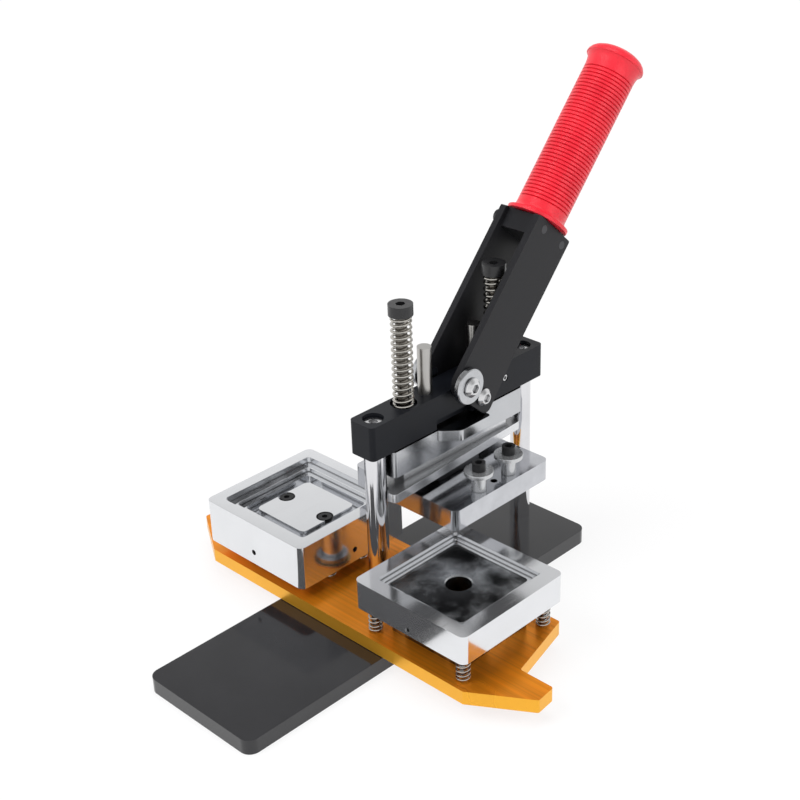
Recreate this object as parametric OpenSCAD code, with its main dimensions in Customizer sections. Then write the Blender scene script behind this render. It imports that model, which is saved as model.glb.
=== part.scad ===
// Hand press for square fridge magnets: sprung dies on a swinging table, a roller lever and a guided ram.
// X runs from the operator's side to the back, Z is up, and the origin is under the front column.

/* [Base plate] */
// Length of the base plate in front of the front column
base_front = 166; // [160:1:190]
// Length of the base plate behind the back column
base_back = 17.5; // [14:0.5:34]
// Width of the base plate
base_w = 102; // [90:1:130]
// Thickness of the base plate
base_t = 11; // [9:0.5:16]
// Corner radius of the base plate
base_corner_r = 8; // [3:1:14]

/* [Columns] */
// Distance between the two column axes
col_spacing = 150; // [148:1:160]
// Diameter of a column
col_d = 15; // [13:0.5:17]
// Free height of a column between base plate and crossbeam
col_h = 117.5; // [116:0.5:130]
// Height of the collar that keeps the table on its column
collar_h = 4; // [3:0.5:6]

/* [Crossbeam] */
// Length of the crossbeam beyond each column axis
beam_overhang = 12; // [11:0.5:18]
// Width of the crossbeam
beam_w = 22; // [20:0.5:23]
// Height of the crossbeam
beam_h = 25; // [23:0.5:32]
// Corner radius of the crossbeam
beam_corner_r = 3.5; // [1:0.5:6]
// Height of the relief in the crossbeam's lower edges
relief_h = 7; // [4:0.5:8]

/* [Swing table] */
// Thickness of the swing table
table_t = 10; // [9:0.5:14]
// Half width of the swing table
table_half_w = 49.5; // [49.5:0.5:54]
// Distance from the pivot to the table's short corner
table_reach = 121; // [119:1:126]
// Length of a handling tab beyond the short corner
tab_l = 43; // [38:1:50]
// Width of a handling tab at its tip
tab_w = 16; // [12:1:20]

/* [Dies] */
// Corner radius of a die
die_corner_r = 5; // [3:0.5:7]
// Width of the magnet shell's window in the first die
shell_w = 65.5; // [60:0.5:66]
// Border of the paper recess round the window
paper_border = 5.25; // [4:0.25:6]
// Wall of the first die and of the upper die round the window
die_wall = 16.25; // [15.5:0.25:16.5]
// Depth of the paper recess
paper_depth = 3; // [2:0.5:3.5]
// Height of the first die's ring
ring_a_h = 21; // [20:0.5:24]
// Gap under the first die's ring
ring_a_gap = 19.5; // [17:0.5:22]
// Outer width of the second die
die_b_w = 101; // [98:1:102]
// Height of the second die's rim above the first die's
ring_b_rise = 1.5; // [0:0.5:1.5]
// Gap under the second die's ring
ring_b_gap = 9; // [7:0.5:10]
// Width of the second die's pad
pad_w = 50; // [44:1:52]
// Diameter of the ejector hole in the first die's core
eject_d = 17.5; // [12:0.5:20]

/* [Ram] */
// Travel of the ram
ram_travel = 8.5; // [6:0.5:8.5]
// Length of the ram block
ram_l = 132; // [130:1:133]
// Width of the ram block
ram_w = 19; // [17:0.5:20]
// Height of the ram block
ram_h = 19.5; // [18:0.5:21]
// Thickness of the ear that the rollers press
ear_t = 8; // [6:0.5:10]
// Height of the spacer under the ram block
spacer_h = 8.5; // [7:0.5:10]
// Thickness of the cross bar under the spacer
bar_t = 6.5; // [5:0.5:8]
// Height of the upper die
upper_h = 15.5; // [14:0.5:17]
// Gap between the upper die and the dies on the table
upper_gap = 10.5; // [10.5:0.5:12]

/* [Guides and springs] */
// Diameter of a guide rod
rod_d = 10; // [8:0.5:10]
// Distance of a guide rod from the ram's centre
rod_at = 25; // [24:0.5:27]
// Height of a guide rod above the crossbeam
rod_rise = 34.5; // [28:0.5:40]
// Distance of a spring screw from the ram's centre
spring_at = 46; // [43:0.5:50]
// Height of the return springs above the crossbeam's counterbores
spring_rise = 68; // [60:1:74]
// Outer diameter of a return spring
spring_d = 15; // [14:0.5:16]
// Wire diameter of a return spring
spring_wire = 1.8; // [1.4:0.1:2.2]
// Turns of a return spring
spring_turns = 12; // [10:1:13]

/* [Lever] */
// Lean of the lever from level
lever_lean = 48; // [40:1:55]
// Thickness of a lever plate
cheek_t = 5; // [4:0.5:6]
// Width of a lever plate
cheek_w = 44.5; // [42:0.5:50]
// Length of a lever plate beyond the pivot
cheek_l = 127; // [120:1:140]
// Length of the handle's grip
grip_l = 135; // [118:1:150]
// Diameter of the grip over its ribs
grip_d = 37.5; // [34:0.5:40]
// Number of ribs on the grip
rib_count = 38; // [30:1:44]
// Diameter of a roller
roller_d = 26; // [22:0.5:26]
// Distance of the roller axis from the lever's pivot
roller_arm = 23.2; // [22:0.1:24]

/* [Hidden] */
$fn = 48;

// Clearances: cuts run past a face, sliding and turning fits, free gaps and seats
over = 1;
run_fit = 0.05;
slide_fit = 0.1;
free_gap = 0.3;
loose_gap = 0.5;

// Screw sizes: shank, head and socket
m8 = 8;
m8_head = 13;
m8_head_h = 5;
m8_hex = 6;
m8_button = 14;
m8_button_h = 3.5;
m6 = 6;
m6_head = 9.5;
m6_head_h = 6;
m6_hex = 5;
m5 = 5;
low_head_h = 3;
m4 = 4;
m4_hex = 2.5;
socket_share = 0.6;
button_share = 0.62;

// Levels
base_l = base_front + col_spacing + base_back;
base_middle = (col_spacing + base_back - base_front) / 2;
base_top = base_t;
table_z = base_top + loose_gap;
table_top = table_z + table_t;
die_top = table_top + ring_a_gap + ring_a_h;
die_b_top = die_top + ring_b_rise;
upper_z = die_top + upper_gap;
upper_top = upper_z + upper_h;
stem_h = 3.5;
bar_z = upper_top + stem_h;
bar_top = bar_z + bar_t;
ram_z = bar_top + spacer_h;
ram_top = ram_z + ram_h;
beam_z = base_top + col_h;
beam_top = beam_z + beam_h;
ram_x = col_spacing / 2;

// Base plate and columns
column_bolt_depth = 18;
stud_d = 10;
stud_l = 7.5;
cbore_r = m8_head / 2 + loose_gap + free_gap;
bolt_r = m8 / 2 + free_gap;
thread_r = m8 / 2 + run_fit;
collar_r = col_d / 2 + 4;
beam_l = col_spacing + 2 * beam_overhang;
beam_cbore_h = m8_head_h + 2.5;

// Relief cut in both lower edges of the crossbeam, reaching further towards the operator
relief_l = 35.5;
relief_middle = -8;
relief_depth = 5;

// Swing table outline
bushing_r = col_d / 2 + 3;
bushing_flange_r = bushing_r + 2.5;
bushing_flange_h = 1.5;
tab_clear = col_d / 2 + loose_gap;
end_slope = 14;
tab_tip_drop = 1.5;
table_corner_r = 2;

// Die rings and cores
die_at = col_spacing / 2;
die_w = shell_w + 2 * die_wall;
paper_w = shell_w + 2 * paper_border;
core_w = shell_w - 2 * slide_fit;
core_corner_r = 3;
core_floor = 5.3;
step_ledge = 2.5;
step_depth = 1.5;
step_w = paper_w - 2 * step_ledge;
recess_corner_r = 2;
relief_bit_r = 1.2;
ring_b_h = ring_a_gap + ring_a_h + ring_b_rise - ring_b_gap;
window_b_w = 62;
core_b_w = window_b_w - 2 * slide_fit;
back_w = 90;
back_depth = ring_b_rise + 5.4;
back_step_w = 74;
back_step_depth = 0.8;
pad_drop = 7;
pad_t = 7;
pad_corner_r = 4;
pad_screw_at = 20.4;
pad_head = 10;
pad_cbore_r = 6.2;
eject_chamfer = 0.8;
pad_z = die_top - pad_drop - pad_t;
core_screw_at = 12;
core_screw_depth = 14;

// Sprung rings: guide pins, springs and retaining screws
pin_d = 6;
pin_a_at = shell_w / 2 + 6.75;
pin_a_entry = 6;
ring_a_travel = 8;
pin_b_at = [15.5, 40];
pin_b_entry = 8;
ring_b_travel = 5.5;
ring_b_pocket = 7.5;
spring_a_d = 10;
spring_a_wire = 1.3;
spring_a_turns = 6;
spring_b_d = 9.6;
spring_b_wire = 1.1;
spring_b_turns = 7;
pocket_r = spring_b_d / 2 + loose_gap;
retainer_a_z = 3.8;
retainer_b_z = 9.5;
retainer_depth = 2;
slot_depth = retainer_depth + loose_gap;
end_sides = [0, 180];
all_sides = [0, 90, 180, 270];

// Ram
ear_reach = 12;
ear_front = 12;
ear_back = 18.6;
ear_blend = 12;
ear_blend_r = 10;
ear_corner_r = 3;
ram_corner_r = 3;
bar_l = ram_l - 2;
spacer_l = 106;
spacer_w = 10;
stem_l = 44;
stem_w = 16;
ram_bolt_at = 12;
screw_seat = 12;
spring_head = 17;
spring_head_h = 7.8;
spring_cbore_h = 3;
spring_cbore_r = spring_head / 2 + loose_gap + free_gap;
spring_z = beam_top - spring_cbore_h;
spring_head_z = spring_z + spring_rise;
rod_seat = 10;
upper_pocket_w = shell_w + loose_gap;
upper_pocket_h = 8;
punch_w = shell_w - 3.5;
punch_inset = 1;
bushing_at = [15.5, 40];
sleeve_d = 10.5;
sleeve_h = 12.6;
flange_d = 20.5;
flange_h = 3;
bushing_seat = 4;
sight_hole_d = 5;
sight_hole_depth = 10;
top_screw_at = 26;
top_screw_l = 4;

// Lever, in its own directions: along the lever, and across it towards the back
pivot_back = 14.4;
pivot_rise = 11.9;
pivot_x = ram_x + pivot_back;
pivot_z = beam_z + pivot_rise;
cheek_in = beam_w / 2 + 1.5;
cheek_out = cheek_in + cheek_t;
cheek_back = 10.5;
cheek_front = cheek_w - cheek_back;
cheek_foot = 9.5;
cheek_foot_back = 14;
cheek_foot_l = 45;
cheek_foot_r = 6;
cheek_lobe_r = 11;
cheek_blend_r = 30;
cheek_top_r = 1.5;
roller_lag = 89.8;
roller_t = 4.7;
roller_edge = 0.8;
roller_along = roller_arm * cos(roller_lag);
roller_across = -roller_arm * sin(roller_lag);
block_l = 14.2;
block_front = 4;
block_back = 4;
block_screw_drop = 6;
block_screw_front = 22;
block_screw_back = 4;
block_washer = 2;
grip_across = cheek_back - cheek_w / 2;
rod_handle_d = 12;
rod_handle_seat = 10;
grip_start = 1;
grip_flange_d = 46;
grip_flange_l = 2.5;
grip_neck_l = 8.5;
grip_flare_d = 43.5;
grip_flare_l = 9.5;
grip_dome_l = 8.5;
rib_depth = 1;
rod_handle_end = 8;
washer_r = 8;

// Shapes

function unit(v) = v / norm(v);

// Points of a round corner of radius r at b, between a and c
function corner_arc(a, b, c, r, steps = 6) =
  let (
    u = unit(a - b),
    v = unit(c - b),
    half = acos(u * v) / 2,
    centre = b + unit(u + v) * r / sin(half),
    from = b + u * r / tan(half) - centre,
    to = b + v * r / tan(half) - centre,
    start = atan2(from[1], from[0]),
    turn = atan2(from[0] * to[1] - from[1] * to[0], from * to)
  )
  [for (i = [0:steps]) centre + r * [cos(start + turn * i / steps), sin(start + turn * i / steps)]];

// Outline through points with a radius at each, where zero leaves the corner sharp
function rounded(points, radii) =
  let (n = len(points))
  [for (i = [0:n - 1])
    each radii[i] == 0 ? [points[i]]
      : corner_arc(points[(i + n - 1) % n], points[i], points[(i + 1) % n], radii[i])];

module round_rect(l, w, r) {
  square([l - 2 * r, w], center = true);
  square([l, w - 2 * r], center = true);
  for (x = [-1, 1], y = [-1, 1]) translate([x * (l / 2 - r), y * (w / 2 - r)]) circle(r = r);
}

module block(l, w, h, r) {
  linear_extrude(h) round_rect(l, w, r);
}

// Square recess whose corners are relieved by the cutter
module recess(w, h) {
  block(w, w, h, recess_corner_r);
  for (x = [-1, 1], y = [-1, 1])
    translate([x, y, 0] * (w / 2 - recess_corner_r / 2)) cylinder(h = h, r = relief_bit_r);
}

module ring_shape(h, outer_r, inner_r) {
  difference() {
    cylinder(h = h, r = outer_r);
    translate([0, 0, -over]) cylinder(h = h + 2 * over, r = inner_r);
  }
}

module hex_socket(width, depth) {
  translate([0, 0, -depth]) cylinder(h = depth + over, d = width / cos(30), $fn = 6);
}

// Screw that hangs from z = 0: its head is above and its shank below
module cap_screw(shank_d, length, head_d, head_h, hex) {
  difference() {
    union() {
      cylinder(h = head_h, d = head_d);
      translate([0, 0, -length]) cylinder(h = length + head_h / 2, d = shank_d);
    }
    translate([0, 0, head_h]) hex_socket(hex, head_h * socket_share);
  }
}

module button_screw(shank_d, length, head_d, head_h, hex) {
  difference() {
    union() {
      cylinder(h = head_h / 3, d = head_d);
      translate([0, 0, head_h / 3]) cylinder(h = head_h * 2 / 3, d1 = head_d, d2 = head_d * button_share);
      translate([0, 0, -length]) cylinder(h = length + head_h / 3, d = shank_d);
    }
    translate([0, 0, head_h]) hex_socket(hex, head_h * socket_share);
  }
}

module grub_screw(shank_d, length, tip_d, tip_l, hex) {
  difference() {
    union() {
      translate([0, 0, -length]) cylinder(h = length, d = shank_d);
      translate([0, 0, -length - tip_l]) cylinder(h = length, d = tip_d);
    }
    hex_socket(hex, length * socket_share / 2);
  }
}

module four_corners(at) {
  for (x = [-1, 1], y = [-1, 1]) translate([x * at[0], y * at[1], 0]) children();
}

module at_sides(turns) {
  for (turn = turns) rotate(turn) children();
}

module at_die_a() {
  translate([0, -die_at, 0]) children();
}

module at_die_b() {
  translate([0, die_at, 0]) children();
}

module at_ram() {
  translate([ram_x, 0, 0]) children();
}

// Places a child drawn with X along the lever and Y across it; its height runs from side to side
module at_lever(along = 0, across = 0) {
  translate([pivot_x, 0, pivot_z])
    rotate([90, -lever_lean, 0])
      translate([along, -across, 0]) children();
}

// Springs

// Height of a spring's wire centre after some turns, with a closed turn at each end
function wire_height(turn, turns, rise, wire) =
  let (closed = wire + loose_gap, open = (rise - 2 * closed) / (turns - 2))
  turn < 1 ? turn * closed
    : turn > turns - 1 ? rise - (turns - turn) * closed
    : closed + (turn - 1) * open;

function spring_centres(outer_d, wire, height, turns) =
  let (r = (outer_d - wire) / 2, steps = 8 * turns)
  [for (i = [0:steps])
    [r * cos(45 * i), r * sin(45 * i), wire / 2 + wire_height(i / 8, turns, height - wire, wire)]];

// Least distance between one turn's surface and the next one's
function spring_gap(centres, wire) =
  min([for (i = [0:len(centres) - 6], j = [i + 5:min(i + 11, len(centres) - 1)])
    norm(centres[i] - centres[j])]) - wire;

module coil_spring(outer_d, wire, height, turns) {
  centres = spring_centres(outer_d, wire, height, turns);
  count = len(centres);
  sides = 6;
  points = [for (i = [0:count - 1], k = [0:sides - 1])
    let (
      out = unit([cos(45 * i), sin(45 * i), 0]),
      ahead = unit(centres[min(i + 1, count - 1)] - centres[max(i - 1, 0)]),
      up = unit(cross(out, ahead)),
      turn = 360 * k / sides
    )
    centres[i] + wire / 2 * (cos(turn) * out + sin(turn) * up)];
  walls = [for (i = [0:count - 2], k = [0:sides - 1])
    let (a = i * sides + k, b = i * sides + (k + 1) % sides)
    each [[a, b, b + sides], [a, b + sides, a + sides]]];
  first = [for (k = [1:sides - 2]) [0, k + 1, k]];
  last = [for (k = [1:sides - 2]) (count - 1) * sides * [1, 1, 1] + [0, k, k + 1]];
  polyhedron(points = points, faces = concat(walls, first, last));
}

echo("Least gap in a return spring",
  spring_gap(spring_centres(spring_d, spring_wire, spring_rise - 2 * free_gap, spring_turns), spring_wire));
echo("Least gap in a spring of the first die",
  spring_gap(spring_centres(spring_a_d, spring_a_wire, ring_a_gap - 2 * free_gap, spring_a_turns),
    spring_a_wire));
echo("Least gap in a spring of the second die",
  spring_gap(spring_centres(spring_b_d, spring_b_wire, ring_b_gap + ring_b_pocket - 2 * free_gap,
    spring_b_turns), spring_b_wire));

// Frame

module base_plate() {
  color([0.06, 0.06, 0.07])
  difference() {
    translate([base_middle, 0, 0]) block(base_l, base_w, base_t, base_corner_r);
    for (x = [0, col_spacing]) translate([x, 0, base_t - stud_l - free_gap])
      cylinder(h = stud_l + free_gap + over, r = stud_d / 2 + run_fit);
  }
}

module column() {
  difference() {
    union() {
      translate([0, 0, base_top]) cylinder(h = col_h, d = col_d);
      translate([0, 0, base_top - stud_l]) cylinder(h = stud_l + col_d, d = stud_d);
    }
    translate([0, 0, beam_z - column_bolt_depth]) cylinder(h = column_bolt_depth + over, r = thread_r);
  }
}

module front_column() {
  color([0.8, 0.8, 0.82]) column();
}

module back_column() {
  color([0.8, 0.8, 0.82]) translate([col_spacing, 0, 0]) column();
}

module crossbeam() {
  color([0.1, 0.1, 0.11])
  difference() {
    translate([ram_x, 0, beam_z]) block(beam_l, beam_w, beam_h, beam_corner_r);
    for (x = [0, col_spacing]) translate([x, 0, beam_z - over]) {
      cylinder(h = beam_h + 2 * over, r = bolt_r);
      translate([0, 0, beam_h + over - beam_cbore_h]) cylinder(h = beam_cbore_h + over, r = cbore_r);
    }
    at_ram() for (side = [-1, 1]) {
      translate([side * rod_at, 0, beam_z - over]) cylinder(h = beam_h + 2 * over, d = rod_d + 2 * run_fit);
      translate([side * spring_at, 0, beam_z - over]) cylinder(h = beam_h + 2 * over, r = bolt_r);
      translate([side * spring_at, 0, spring_z]) cylinder(h = spring_cbore_h + over, r = spring_cbore_r);
      translate([relief_middle, side * (beam_w + over - relief_depth) / 2, beam_z])
        cube([relief_l, relief_depth + over, 2 * relief_h], center = true);
    }
    translate([pivot_x, 0, pivot_z]) rotate([90, 0, 0])
      cylinder(h = beam_w + 2 * over, d = m8 + 2 * run_fit, center = true);
    translate([ram_x + spring_at, -beam_w / 2 - over, beam_z + beam_h / 2]) rotate([-90, 0, 0])
      cylinder(h = m5 + over, d = m5 + 2 * run_fit);
  }
}

module column_screws() {
  color([0.75, 0.75, 0.76]) for (x = [0, col_spacing]) translate([x, 0, beam_top - beam_cbore_h])
    cap_screw(m8, beam_h - beam_cbore_h + column_bolt_depth - m8 / 2, m8_head, m8_head_h, m8_hex);
}

module column_collar() {
  color([0.55, 0.55, 0.57]) translate([0, 0, table_top + bushing_flange_h + free_gap])
    ring_shape(collar_h, collar_r, col_d / 2 + run_fit);
}

module pivot_bolt() {
  color([0.78, 0.78, 0.79]) translate([pivot_x, 0, pivot_z]) {
    rotate([90, 0, 0]) translate([0, 0, cheek_out + free_gap])
      button_screw(m8, 2 * cheek_out + 2 * free_gap + m8_button_h / 2, m8_head, m8_button_h, m8_hex);
    rotate([-90, 0, 0]) translate([0, 0, cheek_out + free_gap])
      ring_shape(m8_button_h, m8_head / 2, m8 / 2 - run_fit);
  }
}

module pivot_washers() {
  color([0.6, 0.6, 0.62]) for (side = [0, 1]) mirror([0, side, 0])
    translate([pivot_x, -beam_w / 2, pivot_z]) rotate([90, 0, 0])
      ring_shape(cheek_in - beam_w / 2 - free_gap, washer_r, m8 / 2 + run_fit);
}

module set_screw() {
  color([0.7, 0.7, 0.71]) translate([ram_x + spring_at, -beam_w / 2 + loose_gap, beam_z + beam_h / 2])
    rotate([90, 0, 0]) grub_screw(m5, m5 - loose_gap - free_gap, m5 / 2, 0, m4_hex);
}

// Swing table

// One half of the outline, from the operator's side round the end with the tab
function table_end() =
  let (notch_y = -table_reach - (table_half_w + tab_clear) * tan(end_slope))
  [
    [-table_half_w, -table_reach - table_corner_r],
    [-tab_clear - tab_w, -table_reach - tab_l],
    [-tab_clear, -table_reach - tab_l + tab_tip_drop],
    [-tab_clear, notch_y],
    [table_half_w, -table_reach]
  ];

function mirrored(points) = [for (i = [len(points) - 1:-1:0]) [points[i][0], -points[i][1]]];

module swing_table() {
  outline = concat(table_end(), mirrored(table_end()));
  radii = [for (p = outline) table_corner_r];
  color([0.85, 0.5, 0.1])
  difference() {
    translate([0, 0, table_z]) linear_extrude(table_t) polygon(rounded(outline, radii));
    translate([0, 0, table_z - over]) cylinder(h = table_t + 2 * over, r = bushing_r + run_fit);
    for (side = [-1, 1]) translate([0, side * die_at, table_z - over]) {
      for (x = [-1, 1]) translate([x * core_screw_at, 0, 0]) {
        cylinder(h = table_t + 2 * over, r = m6 / 2 + free_gap);
        cylinder(h = m6_head_h + loose_gap + over, r = m6_head / 2 + loose_gap);
      }
    }
    at_die_a() four_corners([pin_a_at, pin_a_at]) pin_seat();
    at_die_b() four_corners(pin_b_at) pin_seat();
  }
}

module pin_seat() {
  translate([0, 0, table_z - over]) cylinder(h = table_t + 2 * over, r = pin_d / 2 + run_fit);
}

module table_bushing() {
  color([0.6, 0.55, 0.4]) difference() {
    union() {
      translate([0, 0, table_z]) cylinder(h = table_t, r = bushing_r);
      translate([0, 0, table_top]) cylinder(h = bushing_flange_h, r = bushing_flange_r);
    }
    translate([0, 0, table_z - over])
      cylinder(h = table_t + bushing_flange_h + 2 * over, r = col_d / 2 + run_fit);
  }
}

// Slots that the retaining screws of a ring slide in, where z is their middle at rest and travel goes down
module retainer_slots(width, z, travel, turns) {
  low = z - travel - m4 / 2 - free_gap;
  at_sides(turns) translate([width / 2 - slot_depth, -m4 / 2 - free_gap, low])
    cube([slot_depth + over, m4 + 2 * free_gap, travel + m4 + 2 * free_gap]);
}

module retainers(outer_w, inner_w, z, turns) {
  length = (outer_w - inner_w) / 2 - loose_gap;
  at_sides(turns) translate([outer_w / 2 - loose_gap, 0, z]) rotate([0, 90, 0])
    grub_screw(m4, length, m4 - 2 * free_gap, retainer_depth, m4_hex);
}

module core_a() {
  color([0.75, 0.75, 0.78]) at_die_a() difference() {
    translate([0, 0, table_top])
      block(core_w, core_w, die_top - core_floor - table_top, core_corner_r - slide_fit);
    translate([0, 0, table_top - over]) cylinder(h = die_top, d = eject_d);
    translate([0, 0, die_top - core_floor - eject_chamfer])
      cylinder(h = 2 * eject_chamfer, d1 = eject_d, d2 = eject_d + 4 * eject_chamfer);
    retainer_slots(core_w, table_top + ring_a_gap + retainer_a_z, ring_a_travel, end_sides);
    for (x = [-1, 1]) translate([x * (core_screw_at), 0, table_top - over])
      cylinder(h = core_screw_depth + over, r = m6 / 2 + run_fit);
  }
}

module core_b() {
  color([0.7, 0.7, 0.72]) at_die_b() difference() {
    translate([0, 0, table_top]) block(core_b_w, core_b_w, pad_z - table_top, core_corner_r - slide_fit);
    retainer_slots(core_b_w, table_top + ring_b_gap + retainer_b_z, ring_b_travel, all_sides);
    for (x = [-1, 1]) translate([x * core_screw_at, 0, table_top - over])
      cylinder(h = core_screw_depth + over, r = m6 / 2 + run_fit);
    for (y = [-1, 1]) translate([0, y * pad_screw_at, pad_z - core_screw_depth])
      cylinder(h = core_screw_depth + over, r = m6 / 2 + run_fit);
  }
}

module pad_b() {
  color([0.88, 0.88, 0.9]) at_die_b() difference() {
    translate([0, 0, pad_z]) block(pad_w, pad_w, pad_t, pad_corner_r);
    for (y = [-1, 1]) translate([0, y * pad_screw_at, pad_z - over]) {
      cylinder(h = pad_t + 2 * over, r = m6 / 2 + free_gap);
      translate([0, 0, over + pad_t - low_head_h]) cylinder(h = low_head_h + over, r = pad_cbore_r);
    }
  }
}

module pad_screws() {
  color([0.12, 0.12, 0.13]) at_die_b() for (y = [-1, 1])
    translate([0, y * pad_screw_at, pad_z + pad_t - low_head_h])
      cap_screw(m6, pad_t - low_head_h + core_screw_depth - m6 / 2, pad_head, low_head_h, m4);
}

module core_screws() {
  color([0.2, 0.2, 0.21]) for (side = [-1, 1], x = [-1, 1])
    translate([x * core_screw_at, side * die_at, table_z + m6_head_h + loose_gap]) mirror([0, 0, 1])
      cap_screw(m6, table_t - m6_head_h - loose_gap + core_screw_depth - m6 / 2, m6_head, m6_head_h, m6_hex);
}

module guide_pins_a() {
  color([0.75, 0.75, 0.76]) at_die_a() four_corners([pin_a_at, pin_a_at]) translate([0, 0, table_z])
    cylinder(h = table_t + ring_a_gap + pin_a_entry, d = pin_d);
}

module guide_pins_b() {
  color([0.75, 0.75, 0.76]) at_die_b() four_corners(pin_b_at) translate([0, 0, table_z])
    cylinder(h = table_t + ring_b_gap + ring_b_pocket + pin_b_entry, d = pin_d);
}

// First die

module die_a_ring() {
  z = table_top + ring_a_gap;
  color([0.85, 0.85, 0.87]) at_die_a() difference() {
    translate([0, 0, z]) block(die_w, die_w, ring_a_h, die_corner_r);
    translate([0, 0, z - over]) block(shell_w, shell_w, ring_a_h + 2 * over, core_corner_r);
    translate([0, 0, die_top - paper_depth]) recess(paper_w, paper_depth + over);
    translate([0, 0, die_top - paper_depth - step_depth]) recess(step_w, step_depth + over);
    four_corners([pin_a_at, pin_a_at]) translate([0, 0, z - over])
      cylinder(h = pin_a_entry + ring_a_travel + loose_gap + over, r = pin_d / 2 + run_fit);
    at_sides(end_sides) translate([shell_w / 2 - over, 0, z + retainer_a_z]) rotate([0, 90, 0])
      cylinder(h = die_w, d = m4 + 2 * run_fit);
  }
}

module die_a_springs() {
  color([0.78, 0.76, 0.72]) at_die_a() four_corners([pin_a_at, pin_a_at])
    translate([0, 0, table_top + free_gap])
      coil_spring(spring_a_d, spring_a_wire, ring_a_gap - 2 * free_gap, spring_a_turns);
}

module die_a_retainers() {
  color([0.7, 0.7, 0.71]) at_die_a()
    retainers(die_w, shell_w, table_top + ring_a_gap + retainer_a_z, end_sides);
}

// Second die

module die_b_ring() {
  z = table_top + ring_b_gap;
  color([0.88, 0.88, 0.9]) at_die_b() difference() {
    translate([0, 0, z]) block(die_b_w, die_b_w, ring_b_h, die_corner_r);
    translate([0, 0, z - over]) block(window_b_w, window_b_w, ring_b_h + 2 * over, core_corner_r);
    translate([0, 0, die_b_top - back_depth]) recess(back_w, back_depth + over);
    translate([0, 0, die_b_top - back_depth - back_step_depth]) recess(back_step_w, back_step_depth + over);
    four_corners(pin_b_at) translate([0, 0, z - over]) {
      cylinder(h = ring_b_pocket + over, r = pocket_r);
      cylinder(h = ring_b_pocket + pin_b_entry + ring_b_travel + loose_gap + over, r = pin_d / 2 + run_fit);
    }
    at_sides(all_sides) translate([window_b_w / 2 - over, 0, z + retainer_b_z]) rotate([0, 90, 0])
      cylinder(h = die_w, d = m4 + 2 * run_fit);
  }
}

module die_b_springs() {
  color([0.78, 0.76, 0.72]) at_die_b() four_corners(pin_b_at) translate([0, 0, table_top + free_gap])
    coil_spring(spring_b_d, spring_b_wire, ring_b_gap + ring_b_pocket - 2 * free_gap, spring_b_turns);
}

module die_b_retainers() {
  color([0.3, 0.3, 0.31]) at_die_b()
    retainers(die_b_w, window_b_w, table_top + ring_b_gap + retainer_b_z, all_sides);
}

// Ram

// Half of the ram's outline on the operator's right, with the ear blended into the straight side
function ear_points() = [
  [-ear_front - ear_blend, -ram_w / 2],
  [-ear_front, -ram_w / 2 - ear_reach],
  [ear_back, -ram_w / 2 - ear_reach],
  [ear_back, -ram_w / 2]
];

module ram_block() {
  ear = concat(ear_points(), mirrored(ear_points()));
  radii = [ear_blend_r, ear_blend_r / 2, ear_corner_r, 0, 0, ear_corner_r, ear_blend_r / 2, ear_blend_r];
  color([0.8, 0.8, 0.82]) at_ram() difference() {
    union() {
      translate([0, 0, ram_z]) block(ram_l, ram_w, ram_h, ram_corner_r);
      translate([0, 0, ram_top - ear_t]) linear_extrude(ear_t) polygon(rounded(ear, radii));
    }
    for (side = [-1, 1]) {
      translate([side * rod_at, 0, ram_top - rod_seat])
        cylinder(h = rod_seat + over, d = rod_d + 2 * run_fit);
      translate([side * spring_at, 0, ram_top - screw_seat]) cylinder(h = screw_seat + over, r = thread_r);
      translate([side * ram_bolt_at, 0, ram_z - over]) cylinder(h = screw_seat + over, r = m6 / 2 + run_fit);
    }
  }
}

module guide_rods() {
  color([0.75, 0.75, 0.76]) at_ram() for (side = [-1, 1]) translate([side * rod_at, 0, ram_top - rod_seat])
    cylinder(h = beam_top + rod_rise - ram_top + rod_seat, d = rod_d);
}

module spring_screws() {
  color([0.14, 0.14, 0.15]) at_ram() for (side = [-1, 1]) translate([side * spring_at, 0, spring_head_z])
    cap_screw(m8, spring_head_z - ram_top + screw_seat - loose_gap, spring_head, spring_head_h, m8_hex);
}

module return_springs() {
  color([0.8, 0.78, 0.72]) at_ram() for (side = [-1, 1])
    translate([side * spring_at, 0, spring_z + free_gap])
      coil_spring(spring_d, spring_wire, spring_rise - 2 * free_gap, spring_turns);
}

module bolt_holes(z, h) {
  for (side = [-1, 1]) translate([side * ram_bolt_at, 0, z - over])
    cylinder(h = h + 2 * over, r = m6 / 2 + run_fit);
}

module ram_spacer() {
  color([0.72, 0.72, 0.74]) at_ram() difference() {
    translate([-spacer_l / 2, -spacer_w / 2, bar_top]) cube([spacer_l, spacer_w, spacer_h]);
    bolt_holes(bar_top, spacer_h);
  }
}

module cross_bar() {
  color([0.78, 0.78, 0.8]) at_ram() difference() {
    translate([0, 0, bar_z]) block(bar_l, ram_w, bar_t, ram_corner_r);
    bolt_holes(bar_z, bar_t);
  }
}

module stem_block() {
  color([0.6, 0.6, 0.62]) at_ram() difference() {
    translate([0, 0, upper_top]) block(stem_l, stem_w, stem_h, ram_corner_r);
    bolt_holes(upper_top, stem_h);
  }
}

module upper_die() {
  color([0.82, 0.82, 0.84]) at_ram() difference() {
    translate([0, 0, upper_z]) block(die_w, die_w, upper_h, die_corner_r);
    translate([0, 0, upper_z - over])
      block(upper_pocket_w, upper_pocket_w, upper_pocket_h + over, core_corner_r);
    bolt_holes(upper_z, upper_h);
    four_corners(bushing_at) translate([0, 0, upper_top - bushing_seat])
      cylinder(h = bushing_seat + over, r = m6 / 2 + run_fit);
    for (y = [-1, 1]) translate([0, y * bushing_at[1], upper_top - sight_hole_depth])
      cylinder(h = sight_hole_depth + over, d = sight_hole_d);
    for (y = [-1, 1]) translate([0, y * top_screw_at, upper_top - top_screw_l - 2 * loose_gap])
      cylinder(h = top_screw_l + 2 * loose_gap + over, r = m5 / 2 + run_fit);
  }
}

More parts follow.
